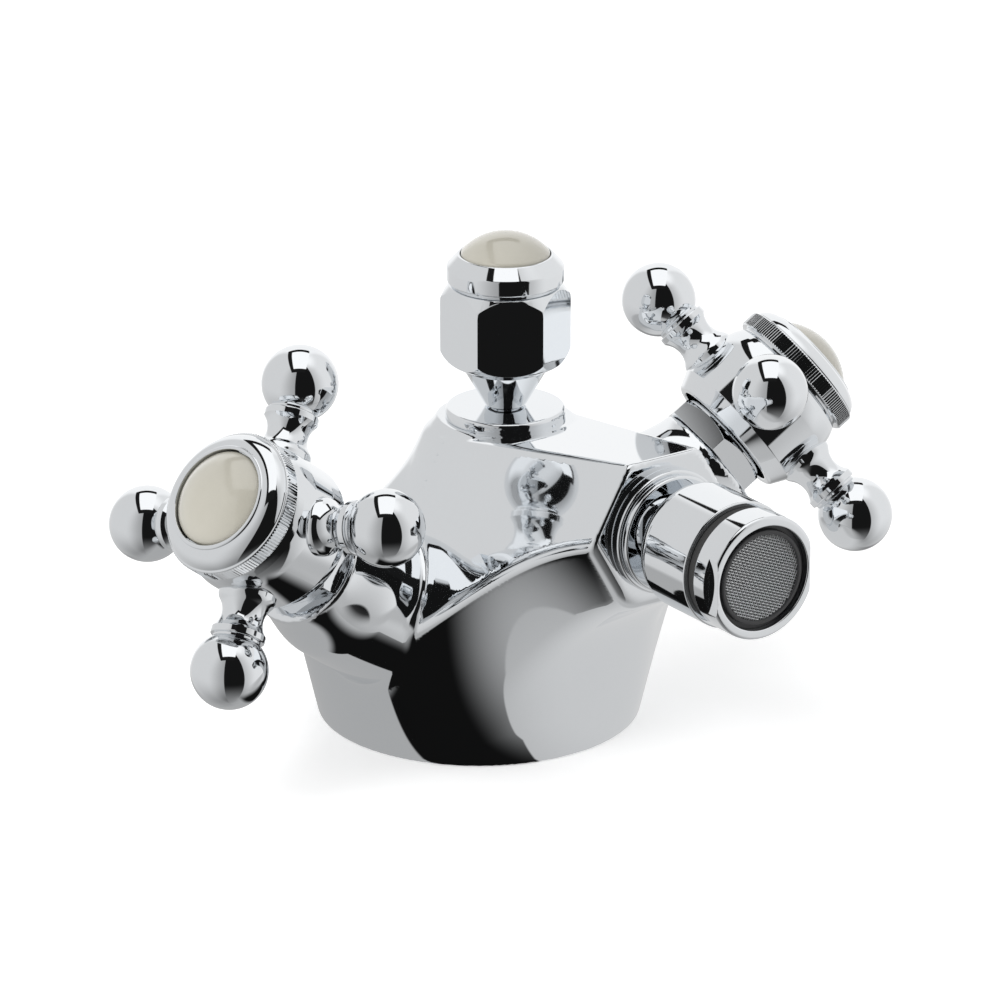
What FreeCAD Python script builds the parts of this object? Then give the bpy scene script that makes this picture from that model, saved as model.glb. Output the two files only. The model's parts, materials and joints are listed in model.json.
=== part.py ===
import FreeCAD, Part
import os
import re

# Bidet mixer tap: a one-hole casting, two crosshead valves, a pull knob and a swivelling jet.
# The origin is the centre of the foot on the deck, +Z is up, the jet points to -Y and hot is at -X.

doc = FreeCAD.newDocument("bidet_mixer")

# Driving dimensions in millimetres and degrees.
SIZES = {
    # casting
    "foot_radius": 32.3,
    "skirt_flare": 0.235,
    "shoulder_flare": 0.577,
    "cheek_width": 25.6,
    "crown_offset": 9.25,
    "crown_radius": 13.7,
    "crown_height": 64.5,
    "boss_reach": 62.0,
    "boss_radius": 17.0,
    "boss_root_radius": 28.5,
    "boss_root_drop": 26.3,
    "jet_drop": 7.5,
    "throat_offset": 20.1,
    "throat_radius": 35.4,
    "throat_drop": 40.0,
    "throat_face_radius": 16.7,
    "throat_round": 10.0,
    "arm_root_offset": 1.5,
    "arm_root_height": 10.9,
    "arm_rise": 36.5,
    "arm_swing": 11.4,
    "arm_end_radius": 14.0,
    "arm_root_radius": 17.0,
    "arm_length": 36.0,
    "arm_round": 2.0,
    "flare_root_radius": 27.0,
    "flare_end_radius": 11.6,
    "flare_length": 29.8,
    "flare_shift": 2.5,
    "flare_rise": 1.5,
    # passages and threads in the casting
    "valve_bore_radius": 9.2,
    "valve_bore_depth": 20.4,
    "supply_radius": 3.5,
    "inlet_spread": 11.7,
    "inlet_thread_radius": 4.5,
    "stud_offset": 12.5,
    "stud_thread_radius": 3.4,
    "stud_thread_depth": 18.0,
    "rod_passage_radius": 3.4,
    "mixing_offset": 17.0,
    "mixing_drop": 20.5,
    "mixing_radius": 2.8,
    "mixing_tap_depth": 12.2,
    "jet_passage_radius": 4.5,
    "gasket_outer_radius": 30.5,
    "gasket_width": 3.5,
    "gasket_depth": 2.0,
    "overcut": 5.0,
    # handle, measured along its axis from the plane of the levers
    "handle_reach": 74.8,
    "handle_gap": 0.7,
    "hot_cross_angle": 14.3,
    "cold_cross_angle": -32.2,
    "hub_radius": 14.9,
    "hub_round_radius": 15.9,
    "hub_drop": 8.9,
    "hub_rise": 8.6,
    "hub_skirt_radius": 11.6,
    "hub_web_drop": 3.0,
    "hub_web_rise": 4.0,
    "cap_thread_radius": 10.2,
    "lever_reach": 29.3,
    "lever_ball_radius": 7.5,
    "lever_foot_radius": 5.2,
    "lever_foot_height": 1.3,
    "lever_waist_radius": 4.1,
    "lever_cove_length": 5.0,
    "lever_collar_radius": 5.2,
    "lever_collar_groove": 0.7,
    "lever_stub_radius": 2.8,
    "lever_stub_depth": 5.4,
    "ring_radius": 14.4,
    "ring_neck": 0.4,
    "ring_neck_radius": 13.0,
    "ring_height": 3.8,
    "bezel_radius": 14.0,
    "bezel_height": 2.6,
    "lip_radius": 10.5,
    "lip_height": 0.3,
    "index_radius": 9.65,
    "index_seat": 0.2,
    "index_edge": 2.0,
    "index_crown": 4.4,
    "cap_bore_radius": 7.0,
    "cap_floor": 1.0,
    "cap_stem_gap": 0.4,
    # valve
    "nut_flats": 21.0,
    "nut_height": 4.4,
    "gland_radius": 8.2,
    "gland_top_radius": 7.0,
    "gland_top_drop": 4.5,
    "journal_radius": 4.95,
    "running_gap": 0.05,
    "spindle_end_radius": 4.0,
    "spindle_flat": 3.0,
    "valve_chamber_radius": 7.2,
    "valve_chamber_height": 12.0,
    "gallery_depth": 0.9,
    "gallery_height": 6.0,
    "gallery_sill": 1.0,
    "spindle_foot_radius": 6.8,
    "spindle_foot_height": 2.0,
    "disc_thickness": 2.6,
    "disc_port_radius": 2.2,
    "disc_port_offset": 3.8,
    "tang_width": 3.0,
    "tang_length": 9.0,
    "tang_depth": 1.2,
    "seat_seal_bore": 5.9,
    "seal_thickness": 1.2,
    "seal_width": 1.6,
    "seal_drop": 1.2,
    "handle_screw_radius": 2.4,
    "handle_screw_length": 11.0,
    "handle_screw_head_radius": 4.2,
    "handle_screw_head_height": 2.8,
    "handle_screw_socket": 2.3,
    "handle_screw_socket_depth": 1.9,
    # pull knob and rod
    "guide_radius": 11.8,
    "guide_rim": 1.5,
    "guide_step_radius": 11.2,
    "guide_step": 0.7,
    "guide_thread_radius": 6.5,
    "guide_thread_length": 10.5,
    "rod_radius": 3.0,
    "rod_end_height": 4.0,
    "rod_in_knob": 13.0,
    "rod_tap_radius": 1.65,
    "rod_tap_depth": 12.0,
    "knob_gap": 0.3,
    "knob_foot_radius": 4.0,
    "knob_cone_radius": 7.95,
    "knob_cone_height": 7.8,
    "knob_under_height": 1.4,
    "knob_flats": 21.8,
    "knob_corner_radius": 12.4,
    "knob_bevel_low": 3.5,
    "knob_bevel_high": 2.1,
    "knob_hex_height": 15.7,
    "cap_neck_radius": 10.2,
    "cap_neck": 0.7,
    "cap_band_radius": 11.5,
    "cap_band_height": 3.0,
    "cap_top_radius": 9.2,
    "cap_cone_height": 2.4,
    "cap_stem_radius": 6.5,
    "cap_stem_length": 5.0,
    "dome_radius": 8.8,
    "dome_seat_depth": 2.4,
    "dome_edge": 0.2,
    "dome_crown": 4.0,
    # jet, measured along its axis from the face of the boss
    "collar_radius": 12.3,
    "collar_height": 2.0,
    "collar_step_radius": 11.6,
    "collar_step": 1.6,
    "jet_thread_radius": 6.5,
    "jet_thread_length": 10.0,
    "jet_bore_radius": 3.0,
    "neck_radius": 4.8,
    "washer_radius": 9.0,
    "washer_height": 1.2,
    "ball_reach": 13.0,
    "ball_radius": 8.6,
    "ball_face": 6.0,
    "liner_thickness": 0.65,
    "liner_half_width": 4.0,
    "housing_radius": 12.5,
    "housing_back_radius": 10.7,
    "housing_shoulder": 2.6,
    "housing_back": 6.0,
    "housing_front": 10.0,
    "seat_back": 3.0,
    "seat_thickness": 2.5,
    "housing_thread_radius": 9.45,
    "seal_bore_radius": 7.5,
    "seal_height": 1.0,
    "front_gap": 2.2,
    "front_ring_radius": 12.1,
    "front_ring_height": 6.1,
    "spanner_flats": 21.6,
    "spanner_flat_back": 3.4,
    "insert_radius": 10.25,
    "insert_bore_radius": 8.4,
    "insert_height": 5.4,
    "insert_recess": 0.5,
    "screen_recess": 0.2,
    "screen_thickness": 0.5,
    "screen_hole_radius": 0.5,
    "screen_pitch": 1.7,
}

sheet = doc.addObject("Spreadsheet::Sheet", "sizes")
for row, (alias, value) in enumerate(SIZES.items(), 1):
    sheet.set(f"A{row}", alias.replace("_", " "))
    sheet.set(f"B{row}", str(value))
    sheet.setAlias(f"B{row}", alias)
doc.recompute()

pieces = []


def tie(obj, prop, text):
    """Bind a property to an expression written with the names of the sheet's cells."""

    def cell(match):
        word = match.group(0)
        return f"sizes.{word}" if word in SIZES else word

    obj.setExpression(prop, re.sub(r"[a-z][a-z_]*", cell, text))


def cylinder(name, radius, low, high):
    obj = doc.addObject("Part::Cylinder", name)
    tie(obj, "Radius", radius)
    tie(obj, "Height", f"({high}) - ({low})")
    tie(obj, "Placement.Base.z", low)
    return obj


def cone(name, low_radius, high_radius, low, high):
    obj = doc.addObject("Part::Cone", name)
    tie(obj, "Radius1", low_radius)
    tie(obj, "Radius2", high_radius)
    tie(obj, "Height", f"({high}) - ({low})")
    tie(obj, "Placement.Base.z", low)
    return obj


def sphere(name, radius, height):
    obj = doc.addObject("Part::Sphere", name)
    tie(obj, "Radius", radius)
    tie(obj, "Placement.Base.z", height)
    return obj


def torus(name, path_radius, tube_radius, height):
    obj = doc.addObject("Part::Torus", name)
    tie(obj, "Radius1", path_radius)
    tie(obj, "Radius2", tube_radius)
    tie(obj, "Placement.Base.z", height)
    return obj


def hexagon(name, corner_radius, low, high, turn="0"):
    obj = doc.addObject("Part::Prism", name)
    obj.Polygon = 6
    tie(obj, "Circumradius", corner_radius)
    tie(obj, "Height", f"({high}) - ({low})")
    tie(obj, "Placement", f"placement(vector(0; 0; {low}); rotation({turn}; 0; 0))")
    return obj


def box(name, length, width, low, high, x="0", y="0"):
    """A box centred on x and y."""
    obj = doc.addObject("Part::Box", name)
    tie(obj, "Length", length)
    tie(obj, "Width", width)
    tie(obj, "Height", f"({high}) - ({low})")
    tie(obj, "Placement.Base.x", f"({x}) - ({length}) / 2")
    tie(obj, "Placement.Base.y", f"({y}) - ({width}) / 2")
    tie(obj, "Placement.Base.z", low)
    return obj


def move(obj, x, y, z, yaw="0", pitch="0", roll="0"):
    tie(obj, "Placement", f"placement(vector({x}; {y}; {z}); rotation({yaw}; {pitch}; {roll}))")
    return obj


def fuse(name, *shapes):
    obj = doc.addObject("Part::MultiFuse", name)
    obj.Shapes = list(shapes)
    obj.Refine = True
    return obj


def common(name, *shapes):
    obj = doc.addObject("Part::MultiCommon", name)
    obj.Shapes = list(shapes)
    obj.Refine = True
    return obj


def cut(name, base, *tools):
    obj = doc.addObject("Part::Cut", name)
    obj.Base = base
    obj.Tool = tools[0] if len(tools) == 1 else fuse(f"{name}_tools", *tools)
    obj.Refine = True
    return obj


def ring(name, outer, inner, low, high):
    outside = cylinder(f"{name}_outside", outer, low, high)
    return cut(name, outside, cylinder(f"{name}_hole", inner, low, high))


def frame(name, x, y, z, yaw="0", pitch="0", roll="0"):
    """A named place that sub-parts stand in."""
    return move(doc.addObject("App::Placement", name), x, y, z, yaw, pitch, roll)


def piece(obj, label, where=None, turn=None):
    """Register a sub-part, standing in a frame and turned about its axis."""
    obj.Label = label
    if where and turn:
        tie(obj, "Placement", f"{where}.Placement * placement(vector(0; 0; 0); rotation({turn}))")
    elif where:
        tie(obj, "Placement", f"{where}.Placement")
    pieces.append(obj)


# Frames: each valve axis leans out of the foot's axis, the knob stands on the crown, the jet on the boss.
ALONG = "cos(arm_rise * 1deg)"
AXIS_X = f"handle_reach * {ALONG} * cos(arm_swing * 1deg)"
AXIS_Y = f"-arm_root_offset - handle_reach * {ALONG} * sin(arm_swing * 1deg)"
AXIS_Z = "arm_root_height + handle_reach * sin(arm_rise * 1deg)"
JET_HEIGHT = "(crown_height - jet_drop)"
frame("hot_axis", f"-{AXIS_X}", AXIS_Y, AXIS_Z, "180 + arm_swing", "90 - arm_rise")
frame("cold_axis", AXIS_X, AXIS_Y, AXIS_Z, "-arm_swing", "90 - arm_rise")
frame("knob_axis", "0", "-crown_offset", "0")
frame("jet_axis", "0", "-boss_reach", JET_HEIGHT, "0", "0", "90")

# Heights in the casting.
BOSS_ROOT = "(crown_height - boss_root_drop)"
THROAT_ROOT = "(crown_height - throat_drop)"
MIXING_HEIGHT = "(crown_height - mixing_drop)"

# Heights along a valve axis.
NUT_TOP = "(-hub_drop - handle_gap)"
ARM_END = "(-hub_drop - handle_gap - nut_height)"
BORE_FLOOR = "(-hub_drop - handle_gap - nut_height - valve_bore_depth)"
ARM_ROOT = "(-hub_drop - handle_gap - nut_height - arm_length)"

# Heights of the knob.
KNOB_FOOT = "(crown_height + guide_rim + guide_step + knob_gap)"
CONE_HIGH = f"({KNOB_FOOT} + knob_cone_height)"
HEX_LOW = f"({CONE_HIGH} + knob_under_height)"
HEX_HIGH = f"({HEX_LOW} + knob_hex_height)"
BAND_LOW = f"({HEX_HIGH} + cap_neck)"
BAND_HIGH = f"({BAND_LOW} + cap_band_height)"
CAP_TOP = f"({BAND_HIGH} + cap_cone_height)"


def placed_in(name, obj, where):
    """The same solid standing in a frame, for use in the casting."""
    copy = fuse(name, *obj)
    tie(copy, "Placement", f"{where}.Placement")
    return copy


def tapering_hexagon(name, root, face):
    """A hexagonal solid that runs forward between two upright sections of radius, reach and height."""
    sections = []
    for end, (radius, reach, height) in (("root", root), ("face", face)):
        section = doc.addObject("Part::RegularPolygon", f"{name}_{end}")
        tie(section, "Circumradius", radius)
        sections.append(move(section, "0", f"-{reach}", height, "0", "0", "90"))
    solid = doc.addObject("Part::Loft", name)
    solid.Sections = sections
    solid.Solid = True
    solid.Ruled = True
    return solid


def casting():
    skirt_top = "foot_radius + skirt_flare * crown_height"
    skirt = cone("skirt", "foot_radius", skirt_top, "0", "crown_height")
    shoulder_foot = "crown_radius + shoulder_flare * crown_height"
    shoulder = cone("shoulder", shoulder_foot, "crown_radius", "0", "crown_height")
    tie(shoulder, "Placement.Base.y", "-crown_offset")
    cheeks = doc.addObject("Part::Wedge", "cheeks")
    for prop, sign in (("min", "-"), ("max", "")):
        tie(cheeks, f"X{prop}", f"{sign}(cheek_width / 2 + shoulder_flare * crown_height)")
        tie(cheeks, f"X2{prop}", f"{sign}cheek_width / 2")
    tie(cheeks, "Ymin", "0")
    tie(cheeks, "Ymax", "crown_height")
    for prop in ("Zmin", "Z2min"):
        tie(cheeks, prop, "crown_offset")
    for prop in ("Zmax", "Z2max"):
        tie(cheeks, prop, "boss_reach")
    move(cheeks, "0", "0", "0", "0", "0", "90")
    flares = []
    for side, sign in (("hot", ""), ("cold", "-")):
        flare = doc.addObject("Part::Cone", f"{side}_arm_flare")
        tie(flare, "Radius1", "flare_root_radius")
        tie(flare, "Radius2", "flare_end_radius")
        tie(flare, "Height", "flare_length")
        shift = f"vector(-flare_rise; {sign}flare_shift; {ARM_ROOT})"
        tie(flare, "Placement", f"{side}_axis.Placement * placement({shift}; rotation(0; 0; 0))")
        flares.append(flare)
    throat_face = ("throat_face_radius", "boss_reach", "crown_height")
    throat = tapering_hexagon("throat", ("throat_radius", "throat_offset", THROAT_ROOT), throat_face)
    doc.recompute()
    rounded_throat = doc.addObject("Part::Fillet", "throat_rounded")
    rounded_throat.Base = throat
    lowest = sorted(range(len(throat.Shape.Edges)), key=lambda i: throat.Shape.Edges[i].CenterOfMass.z)
    under = [i + 1 for i in lowest if throat.Shape.Edges[i].BoundBox.YLength > 1][:2]
    rounded_throat.Edges = [(i, SIZES["throat_round"], SIZES["throat_round"]) for i in under]
    upper_core = fuse("upper_core", shoulder, cheeks)
    core = common("core", skirt, fuse("flared_core", upper_core, *flares))
    under_boss = common("under_boss", rounded_throat, upper_core)
    boss_face = ("boss_radius", "boss_reach", JET_HEIGHT)
    boss = tapering_hexagon("boss", ("boss_root_radius", "crown_offset", BOSS_ROOT), boss_face)

    solids = [core, under_boss, boss]
    hollows = []
    for side in ("hot", "cold"):
        arm = cone(f"{side}_arm_cone", "arm_root_radius", "arm_end_radius", ARM_ROOT, ARM_END)
        doc.recompute()
        end = max(range(3), key=lambda i: arm.Shape.Edges[i].CenterOfMass.z) + 1
        rounded = doc.addObject("Part::Fillet", f"{side}_arm_rounded")
        rounded.Base = arm
        rounded.Edges = [(end, SIZES["arm_round"], SIZES["arm_round"])]
        tie(rounded, "Placement", f"{side}_axis.Placement")
        solids.append(rounded)
        bore = cylinder(f"{side}_valve_bore", "valve_bore_radius", BORE_FLOOR, ARM_END)
        supply_end = f"(inlet_spread / ({ALONG} * cos(arm_swing * 1deg)) - handle_reach)"
        supply = cylinder(f"{side}_supply", "supply_radius", supply_end, BORE_FLOOR)
        hollows.append(placed_in(f"{side}_valve_passage", (bore, supply), f"{side}_axis"))
        sign = "-" if side == "hot" else ""
        inlet_top = "arm_root_height + inlet_spread / cos(arm_swing * 1deg) * tan(arm_rise * 1deg)"
        inlet = cylinder(f"{side}_inlet", "inlet_thread_radius", "0", inlet_top)
        move(inlet, f"{sign}inlet_spread", "-arm_root_offset - inlet_spread * tan(arm_swing * 1deg)", "0")
        hollows.append(inlet)

    stud = cylinder("stud_thread", "stud_thread_radius", "0", "stud_thread_depth")
    tie(stud, "Placement.Base.y", "stud_offset")
    rod = cylinder("rod_passage", "rod_passage_radius", "0", "crown_height")
    guide_low = "crown_height - guide_thread_length"
    guide = cylinder("guide_thread", "guide_thread_radius", guide_low, "crown_height")
    guide_seat = cylinder("guide_seat", "guide_radius", "crown_height", "crown_height + overcut")
    for hole in (rod, guide, guide_seat):
        tie(hole, "Placement.Base.y", "-crown_offset")
    gallery = cylinder("mixing_gallery", "mixing_radius", "0", "0")
    reach = f"({AXIS_X} - (hub_drop + handle_gap + nut_height + mixing_tap_depth) * {ALONG})"
    tie(gallery, "Height", f"2 * {reach}")
    move(gallery, f"-{reach}", "-mixing_offset", MIXING_HEIGHT, "0", "90")
    riser = cylinder("mixing_riser", "mixing_radius", MIXING_HEIGHT, JET_HEIGHT)
    tie(riser, "Placement.Base.y", "-mixing_offset")
    passage = cylinder("jet_passage", "jet_passage_radius", "mixing_offset - boss_reach", "0")
    thread = cylinder("jet_thread", "jet_thread_radius", "-jet_thread_length", "0")
    recess = cylinder("washer_recess", "washer_radius", "-washer_height", "0")
    hollows.append(placed_in("jet_hollow", (passage, thread, recess), "jet_axis"))
    gasket_bore = "gasket_outer_radius - gasket_width"
    groove = ring("gasket_groove", "gasket_outer_radius", gasket_bore, "0", "gasket_depth")
    hollows += [stud, rod, guide, guide_seat, gallery, riser, groove]
    piece(cut("casting", fuse("casting_solid", *solids), *hollows), "body_casting")
    piece(ring("gasket", "gasket_outer_radius", gasket_bore, "0", "gasket_depth"), "base_gasket")


def valve(side):
    """The parts of one valve that stay still in the arm."""
    where = f"{side}_axis"
    name = f"{side}_valve"
    corner = "nut_flats / sqrt(3)"
    nut_body = hexagon(f"{name}_hex", corner, ARM_END, NUT_TOP)
    bevel = cone(f"{name}_bevel", f"{corner} + nut_height", "nut_flats / 2", ARM_END, NUT_TOP)
    bevelled = common(f"{name}_bevelled", nut_body, bevel)
    nut_hole = cylinder(f"{name}_nut_hole", "gland_radius", ARM_END, NUT_TOP)
    piece(cut(f"{name}_nut", bevelled, nut_hole), f"{side}_bonnet_nut", where)

    chamber_top = f"({BORE_FLOOR} + valve_chamber_height)"
    gallery_low = f"({BORE_FLOOR} + valve_chamber_height - gallery_height)"
    barrel = cylinder(f"{name}_barrel", "valve_bore_radius", BORE_FLOOR, ARM_END)
    gland = cylinder(f"{name}_gland", "gland_radius", ARM_END, NUT_TOP)
    top = cylinder(f"{name}_gland_top", "gland_top_radius", NUT_TOP, "-gland_top_drop")
    solid = fuse(f"{name}_solid", barrel, gland, top)
    chamber = cylinder(f"{name}_chamber", "valve_chamber_radius", BORE_FLOOR, chamber_top)
    bore = cylinder(f"{name}_bore", "journal_radius + running_gap", chamber_top, "-gland_top_drop")
    gallery_floor = "valve_bore_radius - gallery_depth"
    gallery = ring(f"{name}_gallery", "valve_bore_radius", gallery_floor, gallery_low, chamber_top)
    window_low = f"({gallery_low} + gallery_sill)"
    windows = [
        box(f"{name}_window_x", "2 * valve_bore_radius", "spindle_foot_radius", window_low, chamber_top),
        box(f"{name}_window_y", "spindle_foot_radius", "2 * valve_bore_radius", window_low, chamber_top),
    ]
    piece(cut(f"{name}_body", solid, chamber, bore, gallery, *windows), f"{side}_cartridge_body", where)

    seal_top = f"({chamber_top} - running_gap - spindle_foot_height - 2 * disc_thickness - 2 * running_gap)"
    disc_top = f"({seal_top} + disc_thickness)"
    disc = cylinder(f"{name}_plate", "valve_chamber_radius", seal_top, disc_top)
    ports = [cylinder(f"{name}_port_{i}", "disc_port_radius", seal_top, disc_top) for i in (1, 2)]
    for port, sign in zip(ports, ("", "-")):
        tie(port, "Placement.Base.y", f"{sign}disc_port_offset")
    piece(cut(f"{name}_disc", disc, *ports), f"{side}_fixed_disc", where)
    seal = ring(f"{name}_seat", "valve_chamber_radius", "seat_seal_bore", BORE_FLOOR, seal_top)
    piece(seal, f"{side}_seat_seal", where)


def spindle_end(name):
    """The round end of a spindle with two flats that carries the handle."""
    body = cylinder(f"{name}_round", "spindle_end_radius", "-hub_web_drop", "hub_web_rise")
    width = "2 * spindle_end_radius + overcut"
    flats = box(f"{name}_flats", "2 * spindle_flat", width, "-hub_web_drop", "hub_web_rise")
    return common(name, body, flats)


def handle(side):
    """The parts of one valve that turn with its handle."""
    where = f"{side}_axis"
    turn = f"{side}_cross_angle; 0; 0"
    name = f"{side}_handle"

    barrel = cylinder(f"{name}_barrel", "hub_radius", "-hub_drop", "hub_rise")
    rounded = common(f"{name}_rounded", barrel, sphere(f"{name}_round", "hub_round_radius", "0"))
    skirt = cylinder(f"{name}_skirt", "hub_skirt_radius", "-hub_drop", "-hub_web_drop")
    pocket = cylinder(f"{name}_pocket", "cap_thread_radius", "hub_web_rise", "hub_rise")
    keyed = spindle_end(f"{name}_key")
    stub_low = "hub_radius - lever_stub_depth"
    stub_holes = []
    for i in range(4):
        hole = cylinder(f"{name}_stub_hole_{i + 1}", "lever_stub_radius", "0", "lever_stub_depth + overcut")
        angle = f"({90 * i} * 1deg)"
        move(hole, f"({stub_low}) * cos({angle})", f"({stub_low}) * sin({angle})", "0", f"{90 * i}", "90")
        stub_holes.append(hole)
    piece(cut(f"{name}_hub", rounded, skirt, pocket, keyed, *stub_holes), f"{side}_handle_hub", where, turn)

    cove_low = "(hub_radius + lever_foot_height)"
    collar_low = f"({cove_low} + lever_cove_length)"
    collar_high = "(lever_reach - sqrt(lever_ball_radius ^ 2 - lever_collar_radius ^ 2))"
    cove_depth = "(lever_foot_radius - lever_waist_radius)"
    cove_tube = f"((lever_cove_length / 2) ^ 2 + {cove_depth} ^ 2) / (2 * {cove_depth})"
    for i, direction in enumerate(("down", "side", "up", "back")):
        lever = f"{name}_{direction}"
        foot = cylinder(f"{lever}_foot", "lever_foot_radius", "hub_radius - lever_foot_height", collar_low)
        cove_middle = f"{cove_low} + lever_cove_length / 2"
        cove = torus(f"{lever}_cove", f"lever_waist_radius + {cove_tube}", cove_tube, cove_middle)
        collar = cylinder(f"{lever}_collar", "lever_collar_radius", collar_low, collar_high)
        collar_middle = f"({collar_low} + {collar_high}) / 2"
        groove = torus(f"{lever}_groove", "lever_collar_radius", "lever_collar_groove / 2", collar_middle)
        ball = sphere(f"{lever}_ball", "lever_ball_radius", "lever_reach")
        against = cylinder(f"{lever}_against", "hub_radius", "0", "2 * (lever_foot_radius + overcut)")
        move(against, "-lever_foot_radius - overcut", "0", "0", "0", "90")
        turned = cut(f"{lever}_turned", fuse(f"{lever}_blank", foot, collar, ball), cove, groove, against)
        stub = cylinder(f"{lever}_stub", "lever_stub_radius", stub_low, cove_low)
        whole = fuse(lever, turned, stub)
        piece(whole, f"{side}_lever_{i + 1}", where, f"{side}_cross_angle + {90 * i}; 90; 0")

    knurl_low = "(hub_rise + ring_neck)"
    knurl_high = f"({knurl_low} + ring_height)"
    bezel_high = f"({knurl_high} + bezel_height)"
    lip_high = f"({bezel_high} + lip_height)"
    floor_high = f"({knurl_high} + index_seat)"
    bezel_centre = "((bezel_radius ^ 2 - lip_radius ^ 2 - bezel_height ^ 2) / (2 * bezel_height))"
    bezel_sphere = f"sqrt(bezel_radius ^ 2 + {bezel_centre} ^ 2)"
    bezel = common(
        f"{name}_bezel",
        cylinder(f"{name}_bezel_blank", "bezel_radius", knurl_high, bezel_high),
        sphere(f"{name}_bezel_round", bezel_sphere, f"{knurl_high} - {bezel_centre}"),
    )
    blank = fuse(
        f"{name}_ring_blank",
        cylinder(f"{name}_ring_stem", "cap_thread_radius", "hub_web_rise + cap_stem_gap", "hub_rise"),
        cylinder(f"{name}_ring_neck", "ring_neck_radius", "hub_rise", knurl_low),
        cylinder(f"{name}_ring_band", "ring_radius", knurl_low, knurl_high),
        bezel,
        cylinder(f"{name}_ring_lip", "lip_radius", knurl_high, lip_high),
    )
    inside = cylinder(f"{name}_ring_inside", "cap_bore_radius", "hub_web_rise", f"{floor_high} - cap_floor")
    seat = cylinder(f"{name}_ring_seat", "index_radius", floor_high, lip_high)
    piece(cut(f"{name}_ring", blank, inside, seat), f"{side}_index_ring", where, turn)

    edge_high = f"({floor_high} + index_edge)"
    crown_high = f"({edge_high} + index_crown)"
    crown_sphere = "((index_radius ^ 2 + index_crown ^ 2) / (2 * index_crown))"
    index = common(
        f"{name}_index",
        cylinder(f"{name}_index_blank", "index_radius", floor_high, crown_high),
        sphere(f"{name}_index_round", crown_sphere, f"{crown_high} - {crown_sphere}"),
    )
    base = cylinder(f"{name}_index_base", "index_radius", floor_high, edge_high)
    piece(fuse(f"{name}_index_whole", base, index), f"{side}_index_disc", where, turn)

    chamber_top = f"({BORE_FLOOR} + valve_chamber_height)"
    foot_high = f"({chamber_top} - running_gap)"
    foot_low = f"({foot_high} - spindle_foot_height)"
    seal_high = f"({NUT_TOP} - seal_drop)"
    seal_low = f"({seal_high} - seal_width)"
    spindle = fuse(
        f"{name}_spindle_blank",
        spindle_end(f"{name}_spindle_end"),
        cylinder(f"{name}_journal", "journal_radius", foot_low, "-hub_web_drop"),
        cylinder(f"{name}_spindle_foot", "spindle_foot_radius", foot_low, foot_high),
        box(f"{name}_tang", "tang_width", "tang_length", f"{foot_low} - tang_depth", foot_low),
    )
    groove_floor = "journal_radius - seal_thickness"
    seal_groove = ring(f"{name}_seal_groove", "journal_radius", groove_floor, seal_low, seal_high)
    tap_low = "hub_web_rise - handle_screw_length"
    tap = cylinder(f"{name}_spindle_tap", "handle_screw_radius", tap_low, "hub_web_rise")
    piece(cut(f"{name}_spindle", spindle, seal_groove, tap), f"{side}_spindle", where, turn)
    seal = ring(f"{name}_seal", "journal_radius", groove_floor, seal_low, seal_high)
    piece(seal, f"{side}_spindle_seal", where, turn)

    disc_high = foot_low
    disc_low = f"({foot_low} - disc_thickness)"
    port = cylinder(f"{name}_disc_port", "disc_port_radius", disc_low, disc_high)
    tie(port, "Placement.Base.x", "disc_port_offset")
    slot = box(f"{name}_disc_slot", "tang_width", "tang_length", f"{foot_low} - tang_depth", foot_low)
    plate = cylinder(f"{name}_disc_plate", "spindle_foot_radius", disc_low, disc_high)
    piece(cut(f"{name}_disc", plate, port, slot), f"{side}_moving_disc", where, turn)

    head_high = "hub_web_rise + handle_screw_head_height"
    head = cylinder(f"{name}_screw_head", "handle_screw_head_radius", "hub_web_rise", head_high)
    shank = cylinder(f"{name}_screw_shank", "handle_screw_radius", tap_low, "hub_web_rise")
    socket_low = f"{head_high} - handle_screw_socket_depth"
    socket = hexagon(f"{name}_screw_socket", "handle_screw_socket", socket_low, head_high)
    screw = cut(f"{name}_screw", fuse(f"{name}_screw_blank", head, shank), socket)
    piece(screw, f"{side}_handle_screw", where, turn)


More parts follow.
